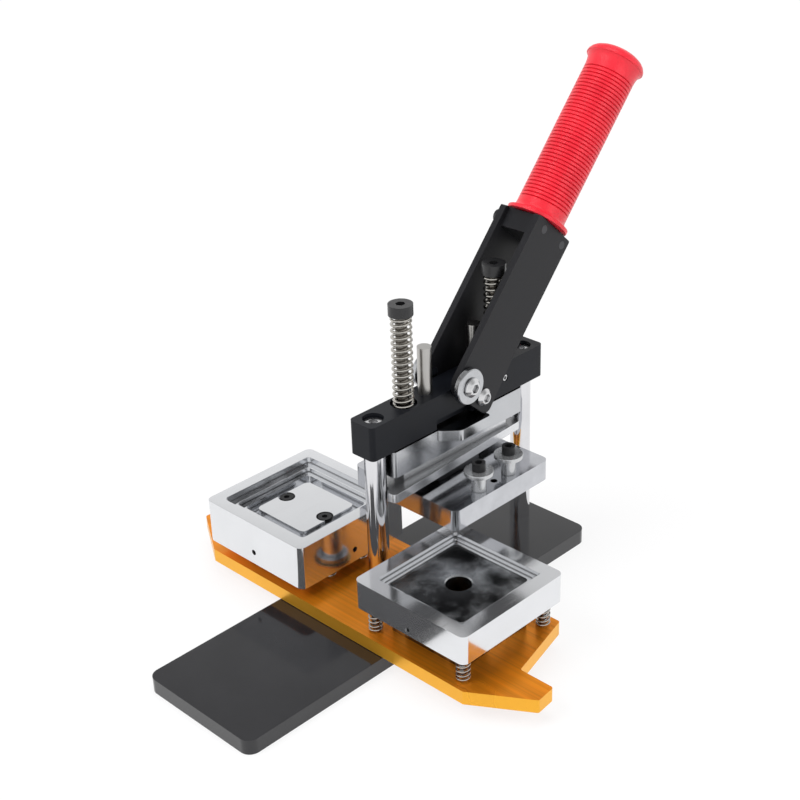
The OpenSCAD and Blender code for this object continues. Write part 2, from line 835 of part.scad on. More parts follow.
module flanged_bushings() {
  color([0.8, 0.8, 0.81]) at_ram() four_corners(bushing_at) translate([0, 0, upper_top]) difference() {
    union() {
      cylinder(h = sleeve_h, d = sleeve_d);
      translate([0, 0, sleeve_h]) cylinder(h = flange_h, d = flange_d);
    }
    translate([0, 0, -over]) cylinder(h = sleeve_h + flange_h + 2 * over, r = m6 / 2 + free_gap);
  }
}

module bushing_screws() {
  color([0.1, 0.1, 0.11]) at_ram() {
    four_corners(bushing_at) translate([0, 0, upper_top + sleeve_h + flange_h])
      cap_screw(m6, sleeve_h + flange_h + bushing_seat - free_gap, m6_head, m6_head_h, m6_hex);
    for (y = [-1, 1]) translate([0, y * top_screw_at, upper_top - loose_gap])
      grub_screw(m5, top_screw_l, m5 / 2, 0, m4_hex);
  }
}

module upper_punch() {
  color([0.8, 0.8, 0.82]) at_ram() difference() {
    translate([0, 0, upper_z + punch_inset])
      block(punch_w, punch_w, upper_pocket_h - punch_inset, core_corner_r);
    bolt_holes(upper_z, upper_h);
    for (y = [-1, 1]) translate([0, y * pad_screw_at, upper_z - over])
      cylinder(h = upper_h, r = m6 / 2 + free_gap);
    for (y = [-1, 1]) translate([0, y * pad_screw_at, upper_z - over])
      cylinder(h = over + punch_inset + low_head_h + free_gap, r = m6_head / 2 + free_gap);
    for (side = [-1, 1]) translate([side * ram_bolt_at, 0, upper_z - over])
      cylinder(h = over + punch_inset + low_head_h + free_gap, r = m6_head / 2 + free_gap);
  }
}

module punch_screws() {
  color([0.12, 0.12, 0.13]) at_ram() for (y = [-1, 1])
    translate([0, y * pad_screw_at, upper_z + punch_inset + low_head_h + free_gap]) mirror([0, 0, 1])
      cap_screw(m6, upper_pocket_h - punch_inset - low_head_h - free_gap, m6_head, low_head_h, m4);
}

module ram_bolts() {
  start = upper_z + punch_inset + low_head_h + free_gap;
  color([0.2, 0.2, 0.21]) at_ram() for (side = [-1, 1]) translate([side * ram_bolt_at, 0, start])
    mirror([0, 0, 1]) cap_screw(m6, ram_z + screw_seat - start - loose_gap, m6_head, low_head_h, m4);
}

// Lever

function cheek_points() = [
  [cheek_l, -cheek_back],
  [cheek_l, cheek_front],
  [-cheek_foot, cheek_front],
  [-cheek_foot, -cheek_foot_back],
  [cheek_foot_l, -cheek_back]
];

module cheek() {
  radii = [cheek_top_r, cheek_top_r, cheek_lobe_r, cheek_foot_r, cheek_blend_r];
  difference() {
    linear_extrude(cheek_t) polygon(rounded(cheek_points(), radii));
    translate([0, 0, -over]) cylinder(h = cheek_t + 2 * over, d = m8 + 2 * run_fit);
    translate([roller_along, -roller_across, -over]) cylinder(h = cheek_t + 2 * over, d = m8 + 2 * run_fit);
    for (y = [block_screw_front, -block_screw_back])
      translate([cheek_l - block_screw_drop, y, -over])
        cylinder(h = cheek_t + 2 * over, d = m6 + 2 * run_fit);
  }
}

module lever_cheek_right() {
  color([0.09, 0.09, 0.1]) at_lever() translate([0, 0, cheek_in]) cheek();
}

module lever_cheek_left() {
  color([0.09, 0.09, 0.1]) at_lever() translate([0, 0, -cheek_out]) cheek();
}

module lever_block() {
  front = cheek_front - block_front;
  back = cheek_back - block_back;
  color([0.08, 0.08, 0.09]) at_lever() difference() {
    translate([cheek_l - block_l, -back, -cheek_in]) cube([block_l, front + back, 2 * cheek_in]);
    for (y = [block_screw_front, -block_screw_back]) translate([cheek_l - block_screw_drop, y, 0])
      cylinder(h = 2 * cheek_in + 2 * over, d = m6 + 2 * run_fit, center = true);
    translate([cheek_l - rod_handle_seat, -grip_across, 0]) rotate([0, 90, 0])
      cylinder(h = rod_handle_seat + over, d = rod_handle_d + 2 * run_fit);
  }
}

module block_bolts() {
  color([0.35, 0.35, 0.36]) at_lever() for (y = [block_screw_front, -block_screw_back])
    translate([cheek_l - block_screw_drop, y, -cheek_out - block_washer]) mirror([0, 0, 1]) {
      cap_screw(m6, 2 * cheek_out + block_washer, m6_head, m6_head_h, m6_hex);
      translate([0, 0, -block_washer]) cylinder(h = block_washer, d = m6_head + m6 / 2);
    }
}

module along_lever(along) {
  at_lever(along, grip_across) rotate([0, 90, 0]) children();
}

module handle_rod() {
  color([0.5, 0.5, 0.52]) along_lever(cheek_l - rod_handle_seat)
    cylinder(h = rod_handle_seat + grip_start + grip_l - rod_handle_end, d = rod_handle_d);
}

// Half profile of the grip: flange with a hollow flare, ribs with narrow grooves, flare and domed end
function grip_profile() =
  let (
    neck = grip_flange_l + grip_neck_l,
    ribs_end = grip_l - grip_dome_l - grip_flare_l,
    pitch = (ribs_end - neck) / rib_count,
    r = grip_d / 2,
    flare_r = grip_flare_d / 2,
    dome_z = grip_l - grip_dome_l
  )
  concat(
    [[rod_handle_d / 2 + run_fit, 0], [grip_flange_d / 2 - free_gap, 0]],
    [[grip_flange_d / 2, grip_flange_l / 4]],
    [for (t = [0:18:90])
      [r + (grip_flange_d / 2 - r) * (1 - sin(t)), grip_flange_l + (grip_neck_l / 2) * (1 - cos(t))]],
    [for (i = [0:rib_count - 1], side = [0:2])
      [side == 1 ? r - rib_depth : r, neck + pitch * (i + 0.02 + 0.2 * side)]],
    [[r, ribs_end]],
    [for (t = [18:18:90]) [r + (flare_r - r) * (1 - cos(t)), ribs_end + grip_flare_l * sin(t)]],
    [for (t = [15:15:75])
      [flare_r * pow(cos(t), 0.45), dome_z + grip_dome_l * (1 - pow(1 - sin(t), 0.8))]],
    [[0, grip_l], [0, grip_l - rod_handle_end + free_gap]],
    [[rod_handle_d / 2 + run_fit, grip_l - rod_handle_end + free_gap]]
  );

module handle_grip() {
  color([0.8, 0.05, 0.08]) along_lever(cheek_l + grip_start)
    rotate_extrude($fn = 64) polygon(grip_profile());
}

module roller() {
  difference() {
    union() {
      cylinder(h = roller_edge, d1 = roller_d - 2 * roller_edge, d2 = roller_d);
      translate([0, 0, roller_edge]) cylinder(h = roller_t - 2 * roller_edge, d = roller_d);
      translate([0, 0, roller_t - roller_edge])
        cylinder(h = roller_edge, d1 = roller_d, d2 = roller_d - 2 * roller_edge);
    }
    translate([0, 0, -over]) cylinder(h = roller_t + 2 * over, d = m8 + 2 * run_fit);
  }
}

module roller_right() {
  color([0.82, 0.82, 0.83]) at_lever(roller_along, roller_across)
    translate([0, 0, cheek_out + free_gap]) roller();
}

module roller_left() {
  color([0.82, 0.82, 0.83]) at_lever(roller_along, roller_across)
    translate([0, 0, -cheek_out - free_gap - roller_t]) roller();
}

module roller_screws() {
  length = 2 * free_gap + roller_t + cheek_t;
  color([0.7, 0.7, 0.71]) for (side = [0, 1]) mirror([0, side, 0]) at_lever(roller_along, roller_across)
    translate([0, 0, cheek_out + 2 * free_gap + roller_t])
      button_screw(m8, length, m8_button, m8_button_h, m8_hex);
}

base_plate();
front_column();
back_column();
crossbeam();
column_screws();
column_collar();
pivot_bolt();
pivot_washers();
set_screw();
swing_table();
table_bushing();
core_a();
core_b();
pad_b();
pad_screws();
core_screws();
guide_pins_a();
guide_pins_b();
die_a_ring();
die_a_springs();
die_a_retainers();
die_b_ring();
die_b_springs();
die_b_retainers();
ram_block();
guide_rods();
spring_screws();
return_springs();
ram_spacer();
cross_bar();
stem_block();
upper_die();
flanged_bushings();
bushing_screws();
upper_punch();
punch_screws();
ram_bolts();
lever_cheek_right();
lever_cheek_left();
lever_block();
block_bolts();
handle_rod();
handle_grip();
roller_right();
roller_left();
roller_screws();
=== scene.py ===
import math

import bpy
from mathutils import Matrix, Vector


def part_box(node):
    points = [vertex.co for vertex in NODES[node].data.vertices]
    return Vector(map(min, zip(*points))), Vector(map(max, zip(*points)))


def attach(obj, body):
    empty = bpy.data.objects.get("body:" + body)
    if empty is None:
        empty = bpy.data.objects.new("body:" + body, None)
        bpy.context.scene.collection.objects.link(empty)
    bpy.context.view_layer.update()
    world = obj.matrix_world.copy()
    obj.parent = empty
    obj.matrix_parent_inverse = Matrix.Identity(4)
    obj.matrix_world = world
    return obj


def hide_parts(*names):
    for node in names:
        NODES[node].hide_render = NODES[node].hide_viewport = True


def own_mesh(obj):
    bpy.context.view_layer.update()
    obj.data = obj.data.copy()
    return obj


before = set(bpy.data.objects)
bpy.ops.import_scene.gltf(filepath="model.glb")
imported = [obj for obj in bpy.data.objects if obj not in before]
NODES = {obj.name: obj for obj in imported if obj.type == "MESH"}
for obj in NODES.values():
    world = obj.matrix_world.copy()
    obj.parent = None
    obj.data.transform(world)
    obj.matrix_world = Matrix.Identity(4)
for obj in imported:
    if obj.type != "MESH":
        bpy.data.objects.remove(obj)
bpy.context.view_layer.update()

MM = 0.001
QUARTER_TURN = math.pi / 2

# The photograph's view
CAMERA_AT = Vector((-0.60164, -0.63633, 0.61790))
CAMERA_AZIMUTH = math.radians(-44.59)
CAMERA_ELEVATION = math.radians(27.29)
CAMERA_ROLL = math.radians(-2.03)
CAMERA_LENS = 67.485
CAMERA_SENSOR = 36.0

# Rounding of edges, and the steepest edge that is shaded smooth
EDGE = 0.35 * MM
FINE_EDGE = 0.15 * MM
TABLE_EDGE = 0.5 * MM
BASE_EDGE = 0.8 * MM
BAR_EDGE = 0.8 * MM
BEVEL_STEPS = 2
SMOOTH_ANGLE = math.radians(32)
WELD_GAP = 0.002 * MM

# Return springs, and the springs under the two dies: outer width, wire and turns
RETURN_WIRE = 1.9 * MM
RETURN_TURNS = 15
FIRST_DIE_SPRING_W = 10 * MM
FIRST_DIE_WIRE = 1.3 * MM
FIRST_DIE_TURNS = 6
SECOND_DIE_SPRING_W = 9.6 * MM
SECOND_DIE_WIRE = 1.1 * MM
SECOND_DIE_TURNS = 7
CLOSED_TURN_GAP = 0.5 * MM
TURN_STEPS = 20
WIRE_SIDES = 8

# The cross bar: width, corner radius, the ends of its right-hand side, and its room round the front column
BAR_W = 23 * MM
BAR_CORNER = 3.5 * MM
BAR_FRONT = Vector((3.1 * MM, -15.2 * MM))
BAR_BACK = Vector((141.3 * MM, -8.0 * MM))
COLUMN_CLEAR = 8.6 * MM
NOTCH_STEPS = 24
CORNER_STEPS = 8

# The second die's rim, window and ledge: widths, corner radii, and drops below the solid's rim
RIM_W = 100.2 * MM
RIM_R = 4.6 * MM
RIM_LAP = 0.3 * MM
RIM_RISE = 0.04 * MM
WINDOW_W = 82 * MM
WINDOW_R = 3 * MM
LEDGE_DROP = 4.5 * MM
LEDGE_W = 70 * MM
LEDGE_R = 2.5 * MM
FOOT_DROP = 7.75 * MM
FOOT_W = 92 * MM
RIM_CORNER_STEPS = 5


# Node helpers

# The values between which nearly all of a noise lies
NOISE_LOW = 0.3
NOISE_HIGH = 0.7


def link(tree, source, target):
    tree.links.new(source, target)


def object_coords(tree, scale=(1, 1, 1), turn=(0, 0, 0)):
    coords = tree.nodes.new("ShaderNodeTexCoord")
    mapping = tree.nodes.new("ShaderNodeMapping")
    mapping.inputs["Scale"].default_value = scale
    mapping.inputs["Rotation"].default_value = turn
    link(tree, coords.outputs["Object"], mapping.inputs["Vector"])
    return mapping.outputs["Vector"]


def noise(tree, vector, scale, detail, roughness=0.5):
    node = tree.nodes.new("ShaderNodeTexNoise")
    node.inputs["Scale"].default_value = scale
    node.inputs["Detail"].default_value = detail
    node.inputs["Roughness"].default_value = roughness
    link(tree, vector, node.inputs["Vector"])
    return node.outputs["Fac"]


def cloud_noise(tree, scale, detail=4.0, roughness=0.6):
    """Soft clouds that stay with the object."""
    return noise(tree, object_coords(tree), scale, detail, roughness)


def grain_noise(tree, scale_by_axis, detail, roughness=0.5, turn=(0, 0, 0)):
    """Noise that is stretched differently along each axis, as brushing and scratches are."""
    return noise(tree, object_coords(tree, scale_by_axis, turn), 1.0, detail, roughness)


def colour_ramp(tree, value, stops):
    node = tree.nodes.new("ShaderNodeValToRGB")
    elements = node.color_ramp.elements
    while len(elements) < len(stops):
        elements.new(0.5)
    for element, (place, colour) in zip(elements, stops):
        element.position = place
        element.color = (*colour, 1.0)
    link(tree, value, node.inputs["Fac"])
    return node.outputs["Color"]


def map_range(tree, value, low, high, to_low, to_high):
    node = tree.nodes.new("ShaderNodeMapRange")
    node.inputs["From Min"].default_value = low
    node.inputs["From Max"].default_value = high
    node.inputs["To Min"].default_value = to_low
    node.inputs["To Max"].default_value = to_high
    link(tree, value, node.inputs["Value"])
    return node.outputs["Result"]


def spread(tree, noise_value, to_low, to_high):
    """Stretches a noise's usual range over the range given."""
    return map_range(tree, noise_value, NOISE_LOW, NOISE_HIGH, to_low, to_high)


def math_node(tree, operation, a, b):
    node = tree.nodes.new("ShaderNodeMath")
    node.operation = operation
    for socket, value in zip(node.inputs, (a, b)):
        if isinstance(value, (int, float)):
            socket.default_value = value
        else:
            link(tree, value, socket)
    return node.outputs["Value"]


def bump(tree, height, distance):
    node = tree.nodes.new("ShaderNodeBump")
    node.inputs["Distance"].default_value = distance
    link(tree, height, node.inputs["Height"])
    return node.outputs["Normal"]


def shaded(colour, share):
    return tuple(channel * share for channel in colour)


def new_material(name, metallic, colour, **sockets):
    material = bpy.data.materials.new(name)
    material.use_nodes = True
    tree = material.node_tree
    shader = tree.nodes["Principled BSDF"]
    shader.inputs["Metallic"].default_value = metallic
    shader.inputs["Base Color"].default_value = (*colour, 1.0)
    for socket, value in sockets.items():
        shader.inputs[socket.replace("_", " ")].default_value = value
    return material, tree, shader


# Materials

# Fine scratches in two directions: turn, and the noise value below which there is one
SCRATCH_GRAIN = (20, 1100, 1100)
SCRATCH_SOFTNESS = 0.05
ALONG_TURN = (0.1, 0.2, 0.5)
ALONG_BELOW = 0.3
ACROSS_TURN = (-0.2, 0.1, 2.2)
ACROSS_BELOW = 0.28

CREVICE_SAMPLES = 6

ENAMEL_CLOUD_SCALE = 25.0
ENAMEL_DARK = 0.8
ENAMEL_LIGHT = 1.15
ENAMEL_COAT_ROUGH = 0.08

ANODISED_METALLIC = 0.65
ANODISED_GRAIN = (420, 4, 420)
ANODISED_GRAIN_LIGHT = (-0.2, 0.14)
ANODISED_CLOUD_SCALE = 14.0
ANODISED_CLOUD_LIGHT = (0.94, 1.04)
ANODISED_ROUGH = (0.27, 0.34)
# Zero is an upright face and one a level face: sides end and tops begin here
SIDE_LEVEL = 0.5
TOP_LEVEL = 0.9

SEAM = 0.01 * MM
TWO_FINISH_CLOUD_SCALE = 300.0
TWO_FINISH_LIGHT = (0.8, 1.1)
TWO_FINISH_ROUGH = (0.25, 0.4)

RUBBER_SPECULAR = 0.6
RUBBER_CLOUD_SCALE = 40.0
RUBBER_DARK = 0.85
RUBBER_ROUGH = (0.3, 0.42)
RUBBER_SPECKLE = 0.01 * MM
RUBBER_SPECKLE_SCALE = 1400.0
# Painted shade in the grip's grooves: its reach, the range over which it fades, and how light the grooves
# stay
GROOVE_SHADE_REACH = 1.5 * MM
GROOVE_SHADE_FROM = (0.2, 0.8)
GROOVE_SHADE_LIGHT = 0.8


def scratches(tree, turn, below):
    """One in the middle of a fine straight scratch, else zero."""
    lines = grain_noise(tree, SCRATCH_GRAIN, detail=1.0, turn=turn)
    return map_range(tree, lines, below, below + SCRATCH_SOFTNESS, 1.0, 0.0)


def painted_corner_shade(tree, reach):
    """Zero in narrow corners and sockets, where shade is painted, else one."""
    node = tree.nodes.new("ShaderNodeAmbientOcclusion")
    node.samples = CREVICE_SAMPLES
    node.inputs["Distance"].default_value = reach
    return node.outputs["AO"]


def multiply_colour(tree, colour, factor):
    node = tree.nodes.new("ShaderNodeVectorMath")
    node.operation = "SCALE"
    link(tree, colour, node.inputs[0])
    link(tree, factor, node.inputs["Scale"])
    return node.outputs["Vector"]


def metal(name, colour, rough, metallic=1.0, worn=0.0,
          cloud=0.1, cloud_scale=30.0, cloud_from=(NOISE_LOW, NOISE_HIGH),
          shade=0.0, shade_reach=2 * MM, shade_from=(0.2, 0.7),
          grain=None, grain_depth=0.0):
    """Bare or plated metal. rough is the range of its roughness, cloud the share by which its colour varies,
    worn the roughness that scratches add, and shade how dark the painted shade goes in corners narrower than
    shade_reach.
    grain is the scale of its brushing along each axis."""
    material, tree, shader = new_material(name, metallic, colour)
    clouds = cloud_noise(tree, cloud_scale)
    dark_at, light_at = cloud_from
    paint = colour_ramp(tree, clouds, [(dark_at, shaded(colour, 1 - cloud)), (light_at, colour)])
    if shade:
        # Painted shade: the colour darkens in corners, sockets and under overhangs
        corners = map_range(tree, painted_corner_shade(tree, shade_reach), *shade_from, 1 - shade, 1.0)
        paint = multiply_colour(tree, paint, corners)
    link(tree, paint, shader.inputs["Base Color"])
    finish = spread(tree, clouds, *rough)
    if worn:
        along = scratches(tree, ALONG_TURN, ALONG_BELOW)
        across = scratches(tree, ACROSS_TURN, ACROSS_BELOW)
        both = math_node(tree, "MAXIMUM", along, across)
        finish = math_node(tree, "ADD", finish, math_node(tree, "MULTIPLY", both, worn))
    link(tree, finish, shader.inputs["Roughness"])
    if grain:
        brushing = grain_noise(tree, grain, detail=3.0, roughness=0.65)
        link(tree, bump(tree, brushing, grain_depth), shader.inputs["Normal"])
    return material


def enamel(name, colour, rough, speckle, speckle_scale=900.0, coat=0.0, specular=0.3):
    """Black paint or oxide: even, with a fine speckle and slightly varying gloss."""
    material, tree, shader = new_material(name, 0.0, colour, Specular_IOR_Level=specular, Coat_Weight=coat,
                                          Coat_Roughness=ENAMEL_COAT_ROUGH)
    clouds = cloud_noise(tree, ENAMEL_CLOUD_SCALE)
    tones = [(NOISE_LOW, shaded(colour, ENAMEL_DARK)), (NOISE_HIGH, shaded(colour, ENAMEL_LIGHT))]
    link(tree, colour_ramp(tree, clouds, tones), shader.inputs["Base Color"])
    link(tree, spread(tree, clouds, *rough), shader.inputs["Roughness"])
    specks = noise(tree, object_coords(tree), speckle_scale, detail=2.0)
    link(tree, bump(tree, specks, speckle), shader.inputs["Normal"])
    return material


def anodised(name, top, side):
    """Dyed aluminium, brushed on its top and bottom, with painted light: a deeper shaded tone on the top and
    bottom and a brighter lit tone on the sides.
    """
    material, tree, shader = new_material(name, ANODISED_METALLIC, side)
    coords = tree.nodes.new("ShaderNodeTexCoord")
    facing = tree.nodes.new("ShaderNodeSeparateXYZ")
    link(tree, coords.outputs["Normal"], facing.inputs[0])
    level = math_node(tree, "ABSOLUTE", facing.outputs["Z"], 0.0)
    # Painted light: upright faces take the brighter lit tone, level faces the deeper shaded one
    tone = colour_ramp(tree, level, [(SIDE_LEVEL, side), (TOP_LEVEL, top)])
    brushing = spread(tree, grain_noise(tree, ANODISED_GRAIN, detail=2.0), *ANODISED_GRAIN_LIGHT)
    clouds = cloud_noise(tree, ANODISED_CLOUD_SCALE, detail=3.0, roughness=0.5)
    brushed_top = math_node(tree, "MULTIPLY", level, brushing)
    light = math_node(tree, "ADD", brushed_top, spread(tree, clouds, *ANODISED_CLOUD_LIGHT))
    link(tree, multiply_colour(tree, tone, light), shader.inputs["Base Color"])
    link(tree, spread(tree, clouds, *ANODISED_ROUGH), shader.inputs["Roughness"])
    return material


def two_finishes(name, bare, black, split):
    """Bare steel up to a height, black oxide above it."""
    material, tree, shader = new_material(name, 1.0, bare)
    place = tree.nodes.new("ShaderNodeSeparateXYZ")
    link(tree, object_coords(tree), place.inputs[0])
    above = map_range(tree, place.outputs["Z"], split - SEAM, split + SEAM, 0.0, 1.0)
    clouds = cloud_noise(tree, TWO_FINISH_CLOUD_SCALE)
    tone = colour_ramp(tree, above, [(0.0, bare), (1.0, black)])
    light = spread(tree, clouds, *TWO_FINISH_LIGHT)
    link(tree, multiply_colour(tree, tone, light), shader.inputs["Base Color"])
    link(tree, math_node(tree, "SUBTRACT", 1.0, above), shader.inputs["Metallic"])
    link(tree, spread(tree, clouds, *TWO_FINISH_ROUGH), shader.inputs["Roughness"])
    return material


def rubber(name, colour):
    """Soft rubber, with painted shade darkening its grooves."""
    material, tree, shader = new_material(name, 0.0, colour, Specular_IOR_Level=RUBBER_SPECULAR)
    clouds = cloud_noise(tree, RUBBER_CLOUD_SCALE)
    paint = colour_ramp(tree, clouds, [(NOISE_LOW, shaded(colour, RUBBER_DARK)), (NOISE_HIGH, colour)])
    grooves = map_range(tree, painted_corner_shade(tree, GROOVE_SHADE_REACH), *GROOVE_SHADE_FROM, GROOVE_SHADE_LIGHT, 1.0)
    link(tree, multiply_colour(tree, paint, grooves), shader.inputs["Base Color"])
    link(tree, spread(tree, clouds, *RUBBER_ROUGH), shader.inputs["Roughness"])
    specks = noise(tree, object_coords(tree), RUBBER_SPECKLE_SCALE, detail=2.0)
    link(tree, bump(tree, specks, RUBBER_SPECKLE), shader.inputs["Normal"])
    return material


SATIN_BLACK = (0.007, 0.008, 0.011)
LEVER_BLACK = (0.013, 0.013, 0.015)
GLOSS_BLACK = (0.014, 0.014, 0.016)
OXIDE_BLACK = (0.014, 0.014, 0.015)
BOLT_GREY = (0.085, 0.085, 0.09)
DULL_GREY = (0.12, 0.12, 0.125)
CHROME = (0.74, 0.74, 0.76)
NICKEL = (0.8, 0.81, 0.83)
BRIGHT_STEEL = (0.76, 0.77, 0.79)
ZINC = (0.72, 0.72, 0.73)
PALE_STEEL = (0.6, 0.62, 0.64)
DIE_STEEL = (0.6, 0.61, 0.64)
FLANGE_STEEL = (0.6, 0.61, 0.62)
STEEL = (0.56, 0.57, 0.59)
SPRING_STEEL = (0.56, 0.54, 0.5)
ROD_STEEL = (0.5, 0.49, 0.47)
SCREW_STEEL = (0.3, 0.28, 0.25)
BRONZE = (0.55, 0.38, 0.16)
# Painted light: shaded and lit tones of the one gold anodising, for level and upright faces
GOLD_TOP_SHADED = (0.96, 0.31, 0.014)
GOLD_SIDE_LIT = (0.93, 0.45, 0.035)
RED = (0.78, 0.014, 0.032)

# The height at which the spring screws' black heads begin
SCREW_HEAD_Z = 0.2185

# shade in these recipes is painted shade, darkening colour in corners, sockets and under overhangs
METALS = {
    "chrome": dict(colour=CHROME, rough=(0.05, 0.09)),
    "rod": dict(colour=ROD_STEEL, rough=(0.26, 0.34)),
    "plated": dict(colour=NICKEL, rough=(0.08, 0.15), metallic=0.96, worn=0.08, cloud=0.06, cloud_scale=22.0,
                   shade=0.8, shade_from=(0.45, 0.8)),
    # The ram block's long shade reach paints a shadow on its face under the ears
    "ground": dict(colour=STEEL, rough=(0.16, 0.24), shade=0.8, shade_reach=14 * MM, shade_from=(0.4, 0.9),
                   grain=(12, 500, 500), grain_depth=0.0006 * MM),
    # The cross bar's long shade reach paints a shadow on its top under the ram's ears and beside the ram
    # block
    "bar": dict(colour=BRIGHT_STEEL, rough=(0.2, 0.28), metallic=0.9, cloud=0.06,
                shade=0.72, shade_reach=25 * MM, shade_from=(0.3, 0.62)),
    "flange": dict(colour=FLANGE_STEEL, rough=(0.22, 0.3), metallic=0.85, cloud=0.05, cloud_scale=60.0,
                   shade=0.6),
    "bolt": dict(colour=BOLT_GREY, rough=(0.3, 0.4), shade=0.7),
    # The stem block's dark grey is partly its own dull metal and partly painted shade for the dark slit under
    # the cross bar
    "dull": dict(colour=DULL_GREY, rough=(0.35, 0.5)),
    "upper": dict(colour=DIE_STEEL, rough=(0.08, 0.16), worn=0.1, cloud=0.15, cloud_scale=60.0),
    # The core's strong, high-contrast clouds are painted reflections, bright soft patches on a dark mirror
    # floor
    "core": dict(colour=PALE_STEEL, rough=(0.1, 0.28), cloud=0.87, cloud_from=(0.48, 0.68), shade=0.5),
    "bronze": dict(colour=BRONZE, rough=(0.2, 0.35)),
    "zinc": dict(colour=ZINC, rough=(0.14, 0.26), cloud=0.15, cloud_scale=200.0, shade=0.85),
    "roller": dict(colour=STEEL, rough=(0.18, 0.28), worn=0.06, cloud=0.12, cloud_scale=200.0, shade=0.3),
    "wire": dict(colour=SPRING_STEEL, rough=(0.14, 0.26), cloud=0.25, cloud_scale=300.0,
                 shade=0.7, shade_reach=1.5 * MM),
}
ENAMELS = {
    "oxide": dict(colour=OXIDE_BLACK, rough=(0.3, 0.45), speckle=0.004 * MM, speckle_scale=1200.0),
    "beam": dict(colour=SATIN_BLACK, rough=(0.32, 0.42), speckle=0.002 * MM, specular=0.18),
    "lever": dict(colour=LEVER_BLACK, rough=(0.36, 0.48), speckle=0.002 * MM, specular=0.24),
    "base": dict(colour=GLOSS_BLACK, rough=(0.1, 0.16), speckle=0.0005 * MM, speckle_scale=300.0, coat=0.5),
}

MATERIALS = {name: metal(name, **recipe) for name, recipe in METALS.items()}
for name, recipe in ENAMELS.items():
    MATERIALS[name] = enamel(name, **recipe)
MATERIALS["gold"] = anodised("gold", GOLD_TOP_SHADED, GOLD_SIDE_LIT)
MATERIALS["spring_screw"] = two_finishes("spring_screw", SCREW_STEEL, OXIDE_BLACK, SCREW_HEAD_Z)
MATERIALS["grip"] = rubber("grip", RED)

# Each CAD node's material and the rounding of its edges
FINISHES = {
    "base_plate": ("base", BASE_EDGE),
    "front_column": ("chrome", EDGE),
    "back_column": ("chrome", EDGE),
    "crossbeam": ("beam", EDGE),
    "column_screws": ("zinc", FINE_EDGE),
    "column_collar": ("ground", EDGE),
    "pivot_bolt": ("zinc", FINE_EDGE),
    "pivot_washers": ("zinc", FINE_EDGE),
    "set_screw": ("zinc", FINE_EDGE),
    "swing_table": ("gold", TABLE_EDGE),
    "table_bushing": ("bronze", FINE_EDGE),
    "core_a": ("core", EDGE),
    "core_b": ("plated", EDGE),
    "pad_b": ("plated", EDGE),
    "pad_screws": ("oxide", FINE_EDGE),
    "core_screws": ("oxide", FINE_EDGE),
    "guide_pins_a": ("zinc", FINE_EDGE),
    "guide_pins_b": ("zinc", FINE_EDGE),
    "die_a_ring": ("plated", EDGE),
    "die_a_retainers": ("zinc", FINE_EDGE),
    "die_b_ring": ("plated", EDGE),
    "die_b_retainers": ("oxide", FINE_EDGE),
    "ram_block": ("ground", EDGE),
    "guide_rods": ("rod", EDGE),
    "spring_screws": ("spring_screw", EDGE),
    "ram_spacer": ("bar", FINE_EDGE),
    "stem_block": ("dull", FINE_EDGE),
    "upper_die": ("upper", EDGE),
    "flanged_bushings": ("flange", EDGE),
    "bushing_screws": ("oxide", EDGE),
    "upper_punch": ("plated", EDGE),
    "punch_screws": ("oxide", FINE_EDGE),
    "ram_bolts": ("oxide", FINE_EDGE),
    "lever_cheek_right": ("lever", EDGE),
    "lever_cheek_left": ("lever", EDGE),
    "lever_block": ("lever", EDGE),
    "block_bolts": ("bolt", EDGE),
    "handle_rod": ("ground", FINE_EDGE),
    "handle_grip": ("grip", FINE_EDGE),
    "roller_right": ("roller", FINE_EDGE),
    "roller_left": ("roller", FINE_EDGE),
    "roller_screws": ("zinc", FINE_EDGE),
}


def smooth_by_angle(angle):
    """Geometry nodes that shade a mesh smooth except across edges sharper than angle."""
    group = bpy.data.node_groups.new("smooth_by_angle", "GeometryNodeTree")
    group.interface.new_socket("Geometry", in_out="INPUT", socket_type="NodeSocketGeometry")
    group.interface.new_socket("Geometry", in_out="OUTPUT", socket_type="NodeSocketGeometry")
    start = group.nodes.new("NodeGroupInput")
    end = group.nodes.new("NodeGroupOutput")
    edges = group.nodes.new("GeometryNodeInputMeshEdgeAngle")
    flat = group.nodes.new("FunctionNodeCompare")
    flat.operation = "LESS_EQUAL"
    flat.inputs["B"].default_value = angle
    by_edge = group.nodes.new("GeometryNodeSetShadeSmooth")
    by_edge.domain = "EDGE"
    by_face = group.nodes.new("GeometryNodeSetShadeSmooth")
    by_face.domain = "FACE"
    by_face.inputs["Shade Smooth"].default_value = True
    link(group, start.outputs["Geometry"], by_edge.inputs["Geometry"])
    link(group, edges.outputs["Unsigned Angle"], flat.inputs["A"])
    link(group, flat.outputs["Result"], by_edge.inputs["Shade Smooth"])
    link(group, by_edge.outputs["Geometry"], by_face.inputs["Geometry"])
    link(group, by_face.outputs["Geometry"], end.inputs["Geometry"])
    return group


SMOOTH = smooth_by_angle(SMOOTH_ANGLE)


def dress(obj, material, edge=0.0):
    """Gives an object its material, a small rounding on its sharp edges and smooth round faces."""
    if not obj.material_slots:
        obj.data.materials.append(material)
    for place in obj.material_slots:
        place.material = material
    weld = obj.modifiers.new("weld", "WELD")
    weld.merge_threshold = WELD_GAP
    if edge:
        bevel = obj.modifiers.new("edge", "BEVEL")
        bevel.width = edge
        bevel.segments = BEVEL_STEPS
        bevel.limit_method = "ANGLE"
        bevel.angle_limit = SMOOTH_ANGLE
    smooth = obj.modifiers.new("smooth", "NODES")
    smooth.node_group = SMOOTH
    flats = obj.modifiers.new("flats", "WEIGHTED_NORMAL")
    flats.keep_sharp = True


def dress_nodes():
    for node, (material, edge) in FINISHES.items():
        dress(NODES[node], MATERIALS[material], edge)


# Pieces that stand for CAD nodes or stand on them

